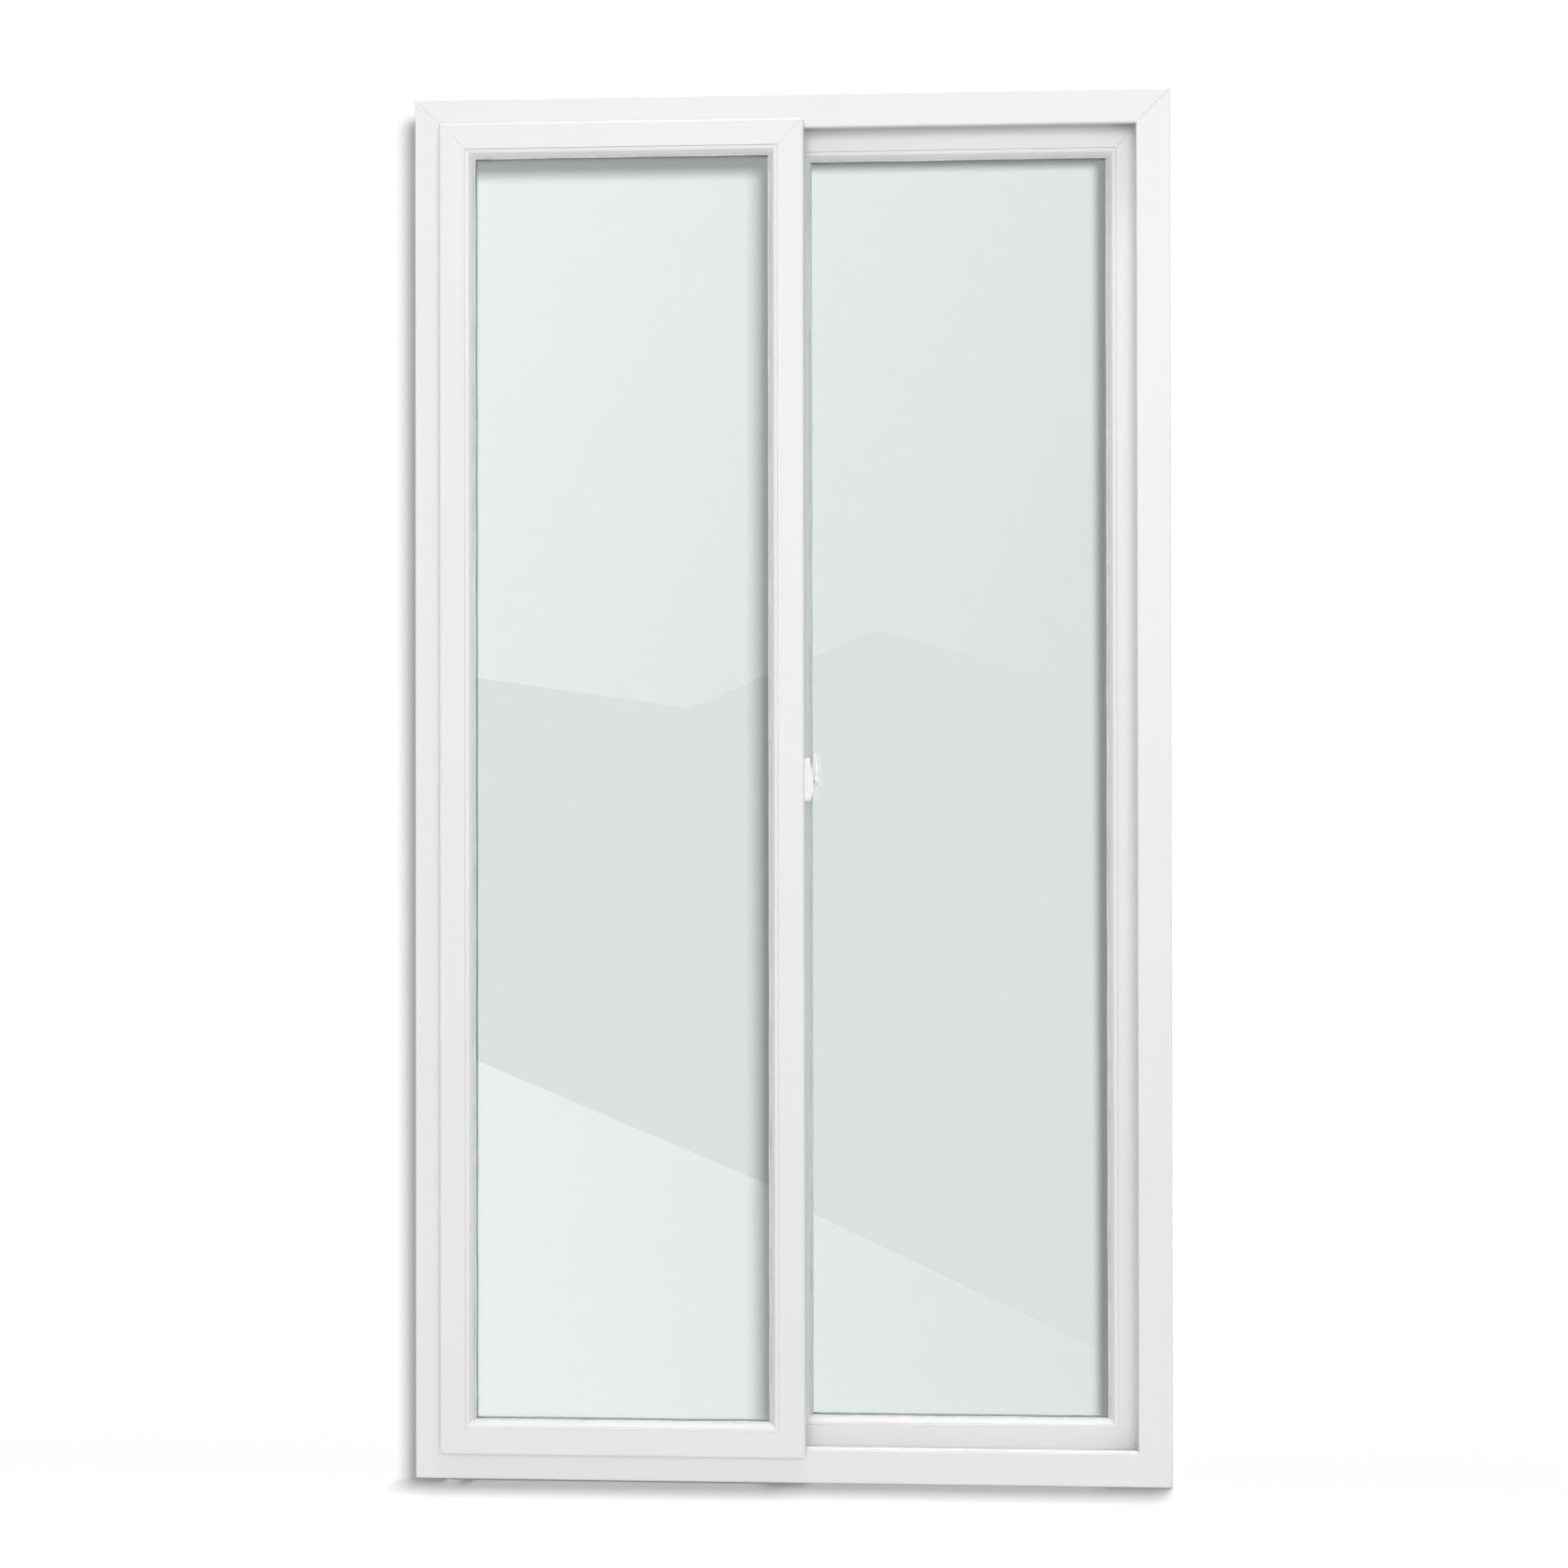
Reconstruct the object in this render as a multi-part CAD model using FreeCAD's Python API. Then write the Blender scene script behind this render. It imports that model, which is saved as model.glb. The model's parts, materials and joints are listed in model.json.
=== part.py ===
import FreeCAD, Part
import math
import os

# Sizes are in millimetres. X runs to the right, Y from the room through the wall, Z up.
# The origin is the middle of the sill's underside.

# Outer frame
door_width = 1200.0
door_height = 2200.0
frame_face = 53.5            # seen width of a frame member, out to the edge of its rails
frame_base = 30.0            # height of the channel floor above the outer face
rail_thickness = 12.0
rail_round = 3.0
frame_edge_round = 1.5
clip_groove_centre = 18.0    # dovetail grooves for fixing straps in the outer face
clip_groove_mouth = 8.0
clip_groove_floor = 10.0
clip_groove_depth = 4.0
anchor_hole_radius = 4.0
anchor_heights = (200.0, 800.0, 1400.0, 2000.0)
weep_slot_length = 30.0
weep_slot_height = 5.0
weep_slot_offset = 300.0     # of each slot from the middle of the sill
seam_width = 2.0             # cleaned weld groove along each mitre
seam_depth = 0.7

# Running fit of the panels on the rails
rail_overlap = 12.5          # how far a panel leg covers the rail
running_clearance = 5.0
panel_gap = 14.0             # between the sliding and the fixed panel
seal_clearance = 0.3

# Panel profile, measured from its outer edge and from its middle plane
leg_thickness = 11.0
groove_depth = 32.0
rebate_floor = 37.0
front_wall_top = 41.5        # where the bead starts on the face
sight_edge = 52.5            # edge of bead and rear wall at the glass
front_wall_thickness = 7.0
leg_round = 4.0
small_round = 1.0
panel_corner_round = 5.0
rear_bevel_start = 46.5
rear_bevel_lip = 1.5
brush_slot_near = 5.0
brush_slot_far = 11.0
brush_slot_depth = 2.0

# Glazing
glass_setback = 13.0         # from the panel's room face to the glass
pane_thickness = 4.0
pane_cavity = 12.0
glass_edge = 41.0            # edge of the glass behind the bead
gasket_thickness = 3.0
gasket_inner_edge = 45.0
gasket_lip = 2.0             # how far the gasket shows past the bead
gasket_lip_thickness = 0.6
bead_setback = 1.0
bead_shoulder = 47.5
bead_shoulder_drop = 1.7
bead_shoulder_round = 2.5
bead_lip = 1.5
spacer_near = 43.0
spacer_far = 50.0

# Where the two panels meet
meeting_line = -1.5
meeting_overlap = 49.0
cover_plate = 3.0
cover_prong = 2.0
cover_prong_length = 12.0
interlock_thickness = 2.0
interlock_flange = 18.0
interlock_leg_from_line = 8.0
interlock_lip_past_line = 3.0
interlock_reach = 3.7        # past the middle plane of the door
interlock_notch = 70.0       # height left free for the keeper

# Rollers, track and stops
track_foot_width = 7.0
track_foot_depth = 2.0
track_crown_radius = 2.5
track_end_gap = 0.5
wheel_tread_radius = 6.0
wheel_flange_radius = 8.0
wheel_width = 8.0
wheel_lift = 0.3
axle_radius = 2.5
axle_clearance = 0.3
carriage_length = 60.0
carriage_width = 20.0
carriage_bottom = 4.0        # above the rail
carriage_slot_clearance = 1.2
carriage_inset = 100.0       # of each carriage from the panel's edge
stop_length = 28.0
stop_gap = 1.0
stop_height = 16.0
stop_width = 9.0
packer_length = 80.0
packer_width = 20.0
packer_inset = 150.0

# Brush seals
brush_backing = 1.6
brush_backing_play = 0.2
brush_pile = 2.4
brush_end_gap = 16.0

# Crescent latch
latch_height = 1112.0
latch_length = 70.0
latch_width = 35.0
latch_rear_inset = 2.0       # from the panel's rear face
latch_pivot_inset = 13.0
latch_plate = 1.5
latch_foot_depth = 8.0       # depths of the cover from its lower to its upper end
latch_belly_depth = 14.5
latch_waist_depth = 13.5
latch_shoulder_depth = 11.5
latch_neck_depth = 8.5
latch_belly_rise = 15.5      # from the lower end
latch_waist_drop = 28.0      # from the upper end
latch_shoulder_drop = 18.0
latch_neck_drop = 10.0
latch_corner_round = 6.0
latch_belly_round = 4.0
latch_edge_round = 2.0
crescent_radius = 21.0
crescent_thickness = 3.0
crescent_play = 0.5
crescent_tip_round = 3.0
hub_radius = 8.0
shaft_radius = 4.7
bore_clearance = 0.3
boss_radius = 7.0
boss_gap = 0.5
lever_rise = 43.0
lever_drop = 8.0
lever_thickness = 4.0
lever_gap = 1.0              # from the latch cover to the lever's root
lever_bow = 1.5
lever_tip_lean = 2.5
lever_root_width = 13.0
lever_tip_width = 9.0
keeper_thickness = 2.5
keeper_length = 50.0
keeper_lip_length = 38.0
keeper_lip_reach = 10.0
keeper_flange = 34.0
keeper_play = 1.5
keeper_round = 4.0

# Sizes that follow from the ones above
sash_depth = 2.0 * (leg_thickness + running_clearance) + rail_thickness
panel_offset = (sash_depth + panel_gap) / 2.0
frame_depth = 2.0 * panel_offset + rail_thickness
panel_inset = frame_face - rail_overlap
half_width = door_width / 2.0
frame_rect = (-half_width, half_width, 0.0, door_height)
sliding_edge = meeting_line + meeting_overlap / 2.0
fixed_edge = meeting_line - meeting_overlap / 2.0
panel_bottom = panel_inset
panel_top = door_height - panel_inset
sliding_rect = (panel_inset - half_width, sliding_edge, panel_bottom, panel_top)
fixed_rect = (fixed_edge, half_width - panel_inset, panel_bottom, panel_top)
sliding_y = -panel_offset
fixed_y = panel_offset
half_sash = sash_depth / 2.0
half_groove = rail_thickness / 2.0 + running_clearance
glass_front = glass_setback - half_sash
glass_back = glass_front + 2.0 * pane_thickness + pane_cavity
bead_back = glass_front - gasket_thickness
rear_wall = glass_back + gasket_thickness
cover_bottom = frame_face + track_crown_radius + running_clearance
cover_top = door_height - frame_face - running_clearance
slide_travel = half_width - frame_face - stop_length - stop_gap - sliding_edge
latch_rear_y = -panel_gap / 2.0 - latch_rear_inset
latch_front_y = latch_rear_y - latch_width
latch_pivot_y = -panel_gap / 2.0 - latch_pivot_inset
latch_face = sliding_edge + latch_plate
latch_belly = sliding_edge + latch_belly_depth
SIDES = ("bottom", "top", "left", "right")
TINY = 1e-6
CUT_MARGIN = 1.0             # how far a cutting shape stands out of what it cuts
LEAST_FLAT = 0.1             # straight bit left between two rounded corners


def vec(x, y, z):
    return FreeCAD.Vector(x, y, z)


def box(x0, x1, y0, y1, z0, z1):
    return Part.makeBox(x1 - x0, y1 - y0, z1 - z0, vec(x0, y0, z0))


def corner_arc(before, corner, after, radius):
    """Start, middle and end of the arc that rounds one corner."""
    to_before = before - corner
    to_before.normalize()
    to_after = after - corner
    to_after.normalize()
    half = to_before.getAngle(to_after) / 2.0
    run = radius / math.tan(half)
    bisector = to_before + to_after
    bisector.normalize()
    centre = corner + bisector * (radius / math.sin(half))
    return corner + to_before * run, centre - bisector * radius, corner + to_after * run


def outline_face(points, place):
    """Flat face through points (a, b, corner radius) that place(a, b) puts in space."""
    corners = [place(a, b) for a, b, _ in points]
    count = len(points)
    bends = []
    for i in range(count):
        if points[i][2] > 0:
            bends.append(corner_arc(corners[i - 1], corners[i], corners[(i + 1) % count], points[i][2]))
        else:
            bends.append((corners[i], None, corners[i]))
    edges = []
    for i in range(count):
        start, middle, end = bends[i]
        if middle is not None:
            edges.append(Part.Arc(start, middle, end).toShape())
        following = bends[(i + 1) % count][0]
        if (following - end).Length > TINY:
            edges.append(Part.makeLine(end, following))
    return Part.Face(Part.Wire(edges))


def side_start(rect, side, y_mid):
    """How a section (inward, y) stands at the start of one side, and the side's run."""
    x0, x1, z0, z1 = rect
    if side == "bottom":
        return (lambda s, y: vec(x0, y_mid + y, z0 + s)), vec(x1 - x0, 0, 0)
    if side == "top":
        return (lambda s, y: vec(x0, y_mid + y, z1 - s)), vec(x1 - x0, 0, 0)
    if side == "left":
        return (lambda s, y: vec(x0 + s, y_mid + y, z0)), vec(0, 0, z1 - z0)
    return (lambda s, y: vec(x1 - s, y_mid + y, z0)), vec(0, 0, z1 - z0)


def mitre_wedge(rect, side, reach, y_mid, depth):
    """Block whose ends slope at 45 degrees, for one side of a mitred frame."""
    x0, x1, z0, z1 = rect
    plans = {
        "bottom": [(x0, z0), (x1, z0), (x1 - reach, z0 + reach), (x0 + reach, z0 + reach)],
        "top": [(x0, z1), (x1, z1), (x1 - reach, z1 - reach), (x0 + reach, z1 - reach)],
        "left": [(x0, z0), (x0, z1), (x0 + reach, z1 - reach), (x0 + reach, z0 + reach)],
        "right": [(x1, z0), (x1, z1), (x1 - reach, z1 - reach), (x1 - reach, z0 + reach)],
    }
    corners = [(x, z, 0) for x, z in plans[side]]
    plan = outline_face(corners, lambda x, z: vec(x, y_mid - depth, z))
    return plan.extrude(vec(0, 2.0 * depth, 0))


def mitred(points, rect, side, y_mid):
    """One side of a mitred frame with the given section."""
    place, run = side_start(rect, side, y_mid)
    bar = outline_face(points, place).extrude(run)
    reach = max(point[0] for point in points) + CUT_MARGIN
    depth = max(abs(point[1]) for point in points) + CUT_MARGIN
    return bar.common(mitre_wedge(rect, side, reach, y_mid, depth))


def ring(points, rect, y_mid):
    """The four mitred sides joined to one closed frame."""
    sides = [mitred(points, rect, side, y_mid) for side in SIDES]
    return sides[0].multiFuse(sides[1:]).removeSplitter()


def short_piece(points, rect, side, y_mid, start, length):
    """A square-cut piece of a section that lies along part of one side."""
    place, run = side_start(rect, side, y_mid)
    run.normalize()
    piece = outline_face(points, place).extrude(run * length)
    piece.translate(run * start)
    return piece


def seams(rect, width, y_face):
    """Shallow grooves along the four mitres on one face."""
    x0, x1, z0, z1 = rect
    grooves = []
    for x, z, dx, dz in ((x0, z0, 1, 1), (x1, z0, -1, 1), (x1, z1, -1, -1), (x0, z1, 1, -1)):
        along = vec(dx, 0, dz)
        across = vec(dx, 0, -dz)
        across.normalize()
        across = across * (seam_width / 2.0)
        start = vec(x, y_face, z) - along * CUT_MARGIN
        down = vec(0, seam_depth, 0)
        rim = [start + across, start + down, start - across, start - down]
        diamond = Part.Face(Part.makePolygon(rim + rim[:1]))
        grooves.append(diamond.extrude(along * (width + 2.0 * CUT_MARGIN)))
    return Part.makeCompound(grooves)


def rounded_plan(rect, radius, y_mid, depth):
    """Block over the whole panel with rounded corners."""
    x0, x1, z0, z1 = rect
    corners = [(x0, z0, radius), (x1, z0, radius), (x1, z1, radius), (x0, z1, radius)]
    plan = outline_face(corners, lambda x, z: vec(x, y_mid - depth, z))
    return plan.extrude(vec(0, 2.0 * depth, 0))


def save(name, shape):
    shape.exportStep("parts/" + name + ".step")


# Outer frame

def frame_section():
    half = frame_depth / 2.0
    inner = half - rail_thickness
    points = [
        (0, -half, frame_edge_round),
        (frame_face, -half, rail_round),
        (frame_face, -inner, rail_round),
        (frame_base, -inner, 0),
        (frame_base, inner, 0),
        (frame_face, inner, rail_round),
        (frame_face, half, rail_round),
        (0, half, frame_edge_round),
    ]
    for centre in (clip_groove_centre, -clip_groove_centre):
        points.append((0, centre + clip_groove_mouth / 2.0, 0))
        points.append((clip_groove_depth, centre + clip_groove_floor / 2.0, 0))
        points.append((clip_groove_depth, centre - clip_groove_floor / 2.0, 0))
        points.append((0, centre - clip_groove_mouth / 2.0, 0))
    return points


def frame_member(side):
    member = mitred(frame_section(), frame_rect, side, 0.0)
    for y_face in (-frame_depth / 2.0, frame_depth / 2.0):
        member = member.cut(seams(frame_rect, frame_face, y_face))
    return member


def frame_jamb(side):
    jamb = frame_member(side)
    x_start = -half_width if side == "left" else half_width - frame_base
    for height in anchor_heights:
        hole = Part.makeCylinder(anchor_hole_radius, frame_base, vec(x_start, 0, height), vec(1, 0, 0))
        jamb = jamb.cut(hole)
    return jamb


def frame_sill():
    sill = frame_member("bottom")
    foot = track_foot_width / 2.0
    end = half_width - frame_face
    sill = sill.cut(box(-end, end, sliding_y - foot, sliding_y + foot,
                        frame_face - track_foot_depth, frame_face))
    slot_round = weep_slot_height / 2.0 - LEAST_FLAT
    half = weep_slot_length / 2.0
    for x_mid in (-weep_slot_offset, weep_slot_offset):
        plan = [(x_mid - half, frame_base, slot_round), (x_mid + half, frame_base, slot_round),
                (x_mid + half, frame_base + weep_slot_height, slot_round),
                (x_mid - half, frame_base + weep_slot_height, slot_round)]
        slot = outline_face(plan, lambda x, z: vec(x, fixed_y - rail_thickness, z))
        sill = sill.cut(slot.extrude(vec(0, 2.0 * rail_thickness, 0)))
    return sill


def sill_track():
    foot = track_foot_width / 2.0
    start = track_end_gap + frame_face - half_width
    low = frame_face - track_foot_depth

    def at(y, z):
        return vec(start, sliding_y + y, z)

    crown = Part.Arc(at(-track_crown_radius, frame_face), at(0, frame_face + track_crown_radius),
                     at(track_crown_radius, frame_face)).toShape()
    around = Part.makePolygon([at(track_crown_radius, frame_face), at(foot, frame_face), at(foot, low),
                               at(-foot, low), at(-foot, frame_face), at(-track_crown_radius, frame_face)])
    section = Part.Face(Part.Wire([crown] + around.Edges))
    return section.extrude(vec(-2.0 * start, 0, 0))


def travel_stops():
    x_start = sliding_edge + slide_travel + stop_gap
    x_end = half_width - frame_face
    y_mid = sliding_y + half_groove + leg_thickness / 2.0
    y0 = y_mid - stop_width / 2.0
    y1 = y_mid + stop_width / 2.0
    low = box(x_start, x_end, y0, y1, frame_base, frame_base + stop_height)
    high = box(x_start, x_end, y0, y1, door_height - frame_base - stop_height, door_height - frame_base)
    return Part.makeCompound([low, high])


# Panels

def sash_section():
    slot_floor = half_groove + brush_slot_depth
    return [
        (0, -half_sash, leg_round),
        (front_wall_top, -half_sash, small_round),
        (front_wall_top, front_wall_thickness - half_sash, 0),
        (rebate_floor, front_wall_thickness - half_sash, 0),
        (rebate_floor, rear_wall, 0),
        (sight_edge, rear_wall, 0),
        (sight_edge, rear_wall + rear_bevel_lip, small_round),
        (rear_bevel_start, half_sash, small_round),
        (0, half_sash, leg_round),
        (0, half_groove, small_round),
        (brush_slot_near, half_groove, 0),
        (brush_slot_near, slot_floor, 0),
        (brush_slot_far, slot_floor, 0),
        (brush_slot_far, half_groove, 0),
        (groove_depth, half_groove, 0),
        (groove_depth, -half_groove, 0),
        (brush_slot_far, -half_groove, 0),
        (brush_slot_far, -slot_floor, 0),
        (brush_slot_near, -slot_floor, 0),
        (brush_slot_near, -half_groove, 0),
        (0, -half_groove, small_round),
    ]


def sash_member(rect, side, y_mid):
    member = mitred(sash_section(), rect, side, y_mid)
    member = member.common(rounded_plan(rect, panel_corner_round, y_mid, sash_depth))
    for y_face in (y_mid - half_sash, y_mid + half_sash):
        member = member.cut(seams(rect, front_wall_top, y_face))
    return member


def bead_section():
    return [
        (front_wall_top, bead_setback - half_sash, small_round),
        (bead_shoulder, bead_shoulder_drop - half_sash, bead_shoulder_round),
        (sight_edge, bead_back - bead_lip, 0),
        (sight_edge, bead_back, 0),
        (rebate_floor, bead_back, 0),
        (rebate_floor, front_wall_thickness - half_sash, 0),
        (front_wall_top, front_wall_thickness - half_sash, 0),
    ]


def gasket_section(y_glass, y_outer):
    """Gasket from the glass out to the bead or wall, with a thin lip past its edge."""
    lip = y_glass + math.copysign(gasket_lip_thickness, y_outer - y_glass)
    return [
        (gasket_inner_edge, y_glass, 0),
        (sight_edge + gasket_lip, y_glass, 0),
        (sight_edge + gasket_lip, lip, 0),
        (sight_edge, y_outer, 0),
        (gasket_inner_edge, y_outer, 0),
    ]


def pane(rect, y_near):
    x0, x1, z0, z1 = rect
    return box(x0 + glass_edge, x1 - glass_edge, y_near, y_near + pane_thickness,
               z0 + glass_edge, z1 - glass_edge)


def spacer(rect, y_mid):
    y0 = glass_front + pane_thickness
    y1 = y0 + pane_cavity
    section = [(spacer_near, y0, 0), (spacer_far, y0, 0), (spacer_far, y1, 0), (spacer_near, y1, 0)]
    return ring(section, rect, y_mid)


def brush_section(leg):
    """Backing strip and pile of a brush seal; leg is -1 at the room side, 1 at the other."""
    floor = leg * (half_groove + brush_slot_depth)
    front = floor - leg * brush_backing
    tip = leg * (rail_thickness / 2.0 + seal_clearance)
    near = brush_slot_near + brush_backing_play
    far = brush_slot_far - brush_backing_play
    middle = (near + far) / 2.0
    pile = brush_pile / 2.0
    return [
        (near, floor, 0), (far, floor, 0), (far, front, 0), (middle + pile, front, 0),
        (middle + pile, tip, 0), (middle - pile, tip, 0), (middle - pile, front, 0), (near, front, 0),
    ]


def brush_seals(rect, y_mid, sides):
    strips = []
    for side in sides:
        run = side_start(rect, side, y_mid)[1]
        length = run.Length - 2.0 * brush_end_gap
        for leg in (-1, 1):
            strips.append(short_piece(brush_section(leg), rect, side, y_mid, brush_end_gap, length))
    return Part.makeCompound(strips)


def fixed_panel_packers():
    half = packer_width / 2.0
    section = [(rail_overlap, -half, 0), (groove_depth, -half, 0),
               (groove_depth, half, 0), (rail_overlap, half, 0)]
    blocks = []
    for side in ("bottom", "top", "right"):
        run = side_start(fixed_rect, side, fixed_y)[1]
        for start in (packer_inset, run.Length - packer_inset - packer_length):
            blocks.append(short_piece(section, fixed_rect, side, fixed_y, start, packer_length))
    return Part.makeCompound(blocks)


def stile_cover(rect, side, y_mid):
    """Snap-in strip that closes the groove of a meeting stile."""
    inner = half_groove - cover_prong
    section = [
        (0, -half_groove, 0), (0, half_groove, 0), (cover_prong_length, half_groove, 0),
        (cover_prong_length, inner, 0), (cover_plate, inner, 0), (cover_plate, -inner, 0),
        (cover_prong_length, -inner, 0), (cover_prong_length, -half_groove, 0),
    ]
    return short_piece(section, rect, side, y_mid, cover_bottom - rect[2], cover_top - cover_bottom)


def interlock(turn):
    """Hooked strip on a meeting stile; turn is 1 on the fixed panel, -1 on the sliding panel."""
    face = panel_gap / 2.0
    thick = interlock_thickness
    leg_out = -interlock_leg_from_line
    leg_in = leg_out + thick
    section = [
        (leg_in - interlock_flange, face, 0), (leg_in - interlock_flange, face - thick, 0),
        (leg_out, face - thick, 0), (leg_out, -interlock_reach, 0),
        (interlock_lip_past_line, -interlock_reach, 0), (interlock_lip_past_line, thick - interlock_reach, 0),
        (leg_in, thick - interlock_reach, 0), (leg_in, face, 0),
    ]
    profile = outline_face(section, lambda x, y: vec(meeting_line + turn * x, turn * y, cover_bottom))
    return profile.extrude(vec(0, 0, cover_top - cover_bottom))


def sliding_interlock():
    """The sliding panel's strip, with its hook left out where the keeper passes."""
    flange_face = interlock_thickness - panel_gap / 2.0
    low = latch_height - interlock_notch / 2.0
    notch = box(meeting_line - interlock_flange, sliding_edge, flange_face, panel_gap / 2.0,
                low, low + interlock_notch)
    return interlock(-1).cut(notch)


# Rollers

def carriage_centres():
    x0, x1, _, _ = sliding_rect
    return (x0 + carriage_inset, x1 - carriage_inset)


def wheel_centre_height():
    return frame_face + track_crown_radius + wheel_lift + wheel_tread_radius


def roller_carriages():
    half_slot = wheel_flange_radius + carriage_slot_clearance
    half_side = wheel_width / 2.0 + carriage_slot_clearance / 2.0
    half = carriage_width / 2.0
    top = panel_inset + groove_depth
    blocks = []
    for x_mid in carriage_centres():
        block = box(x_mid - carriage_length / 2.0, x_mid + carriage_length / 2.0,
                    sliding_y - half, sliding_y + half, frame_face + carriage_bottom, top)
        slot = box(x_mid - half_slot, x_mid + half_slot, sliding_y - half_side, sliding_y + half_side, 0, top)
        bore = Part.makeCylinder(axle_radius + axle_clearance, carriage_width,
                                 vec(x_mid, sliding_y - half, wheel_centre_height()), vec(0, 1, 0))
        blocks.append(block.cut(slot).cut(bore))
    return Part.makeCompound(blocks)


def roller_wheels():
    """Grooved wheels that straddle the track crown, each turned in one with its axle."""
    flange = wheel_width / 2.0
    tread = track_crown_radius + wheel_lift
    end = carriage_width / 2.0
    half_profile = [
        (end, 0), (end, axle_radius), (flange, axle_radius), (flange, wheel_flange_radius),
        (tread, wheel_flange_radius), (tread, wheel_tread_radius),
    ]
    mirrored = [(-y, radius) for y, radius in reversed(half_profile)]
    profile = [(y, radius, 0) for y, radius in half_profile + mirrored]
    wheels = []
    for x_mid in carriage_centres():
        centre = vec(x_mid, sliding_y, wheel_centre_height())
        face = outline_face(profile, lambda y, radius: centre + vec(0, y, radius))
        wheels.append(face.revolve(centre, vec(0, 1, 0), 360))
    return Part.makeCompound(wheels)


# Crescent latch

def latch_plan(x0, x1):
    """Rounded block over the latch, seen from the side it is screwed to."""
    low = latch_height - latch_length / 2.0
    high = low + latch_length
    corners = [(latch_front_y, low, latch_corner_round), (latch_rear_y, low, latch_corner_round),
               (latch_rear_y, high, latch_corner_round), (latch_front_y, high, latch_corner_round)]
    return outline_face(corners, lambda y, z: vec(x0, y, z)).extrude(vec(x1 - x0, 0, 0))


def latch_base():
    return latch_plan(sliding_edge, latch_face)


def pivot(x):
    return vec(x, latch_pivot_y, latch_height)


def latch_cover():
    """Housing over the crescent, thick in the middle and sloped off above and below."""
    low = latch_height - latch_length / 2.0
    high = low + latch_length
    profile = [
        (latch_plate, low, 0), (latch_foot_depth, low, latch_edge_round),
        (latch_belly_depth, low + latch_belly_rise, latch_belly_round),
        (latch_waist_depth, high - latch_waist_drop, latch_belly_round),
        (latch_shoulder_depth, high - latch_shoulder_drop, latch_edge_round),
        (latch_neck_depth, high - latch_neck_drop, latch_edge_round),
        (latch_neck_depth, high, latch_edge_round), (latch_plate, high, 0),
    ]
    body = outline_face(profile, lambda depth, z: vec(sliding_edge + depth, latch_front_y, z))
    body = body.extrude(vec(0, latch_width, 0)).common(latch_plan(latch_face, latch_belly))
    cavity_radius = crescent_radius + 2.0 * crescent_play
    cavity_depth = crescent_thickness + 2.0 * crescent_play
    bore_radius = shaft_radius + bore_clearance
    cavity = Part.makeCylinder(cavity_radius, cavity_depth, pivot(latch_face), vec(1, 0, 0))
    bore = Part.makeCylinder(bore_radius, latch_belly_depth, pivot(latch_face), vec(1, 0, 0))
    return body.cut(cavity).cut(bore)


def latch_crescent():
    """Half disc that turns behind the keeper, on its shaft."""
    start = latch_face + crescent_play
    disc = Part.makeCylinder(crescent_radius, crescent_thickness, pivot(start), vec(1, 0, 0))
    rear_half = box(start, start + crescent_thickness, latch_pivot_y, latch_pivot_y + crescent_radius,
                    latch_height - crescent_radius, latch_height + crescent_radius)
    half_disc = disc.cut(rear_half)
    tips = [edge for edge in half_disc.Edges
            if abs(edge.Length - crescent_thickness) < TINY
            and abs(edge.CenterOfMass.y - latch_pivot_y) < TINY]
    half_disc = half_disc.makeFillet(crescent_tip_round, tips)
    hub = Part.makeCylinder(hub_radius, crescent_thickness, pivot(start), vec(1, 0, 0))
    shaft = Part.makeCylinder(shaft_radius, latch_belly + boss_gap - start, pivot(start), vec(1, 0, 0))
    return half_disc.fuse(hub).fuse(shaft).removeSplitter()


def latch_handle():
    """Bowed lever on a round boss."""
    low = latch_height - lever_drop
    high = latch_height + lever_rise
    middle = (low + high) / 2.0
    root = latch_belly + lever_gap
    tip = root - lever_tip_lean

    def at(x, z):
        return vec(x, latch_pivot_y - lever_root_width, z)

    inner = Part.Arc(at(root, low), at(root + lever_bow, middle), at(tip, high)).toShape()
    outer = Part.Arc(at(root + lever_thickness, low), at(root + lever_bow + lever_thickness, middle),
                     at(tip + lever_thickness, high)).toShape()
    foot = Part.makeLine(at(root, low), at(root + lever_thickness, low))
    head = Part.makeLine(at(tip, high), at(tip + lever_thickness, high))
    side = Part.Face(Part.Wire(Part.__sortEdges__([inner, head, outer, foot])))
    bar = side.extrude(vec(0, 2.0 * lever_root_width, 0))
    half_root = lever_root_width / 2.0
    half_tip = lever_tip_width / 2.0
    corners = [(latch_pivot_y - half_root, low, half_root - small_round),
               (latch_pivot_y + half_root, low, half_root - small_round),
               (latch_pivot_y + half_tip, high, half_tip - small_round),
               (latch_pivot_y - half_tip, high, half_tip - small_round)]
    plan = outline_face(corners, lambda y, z: vec(sliding_edge, y, z))
    bar = bar.common(plan.extrude(vec(root + lever_bow + lever_thickness, 0, 0)))
    boss = Part.makeCylinder(boss_radius, lever_thickness, pivot(latch_belly + boss_gap), vec(1, 0, 0))
    return bar.fuse(boss).removeSplitter()


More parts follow.
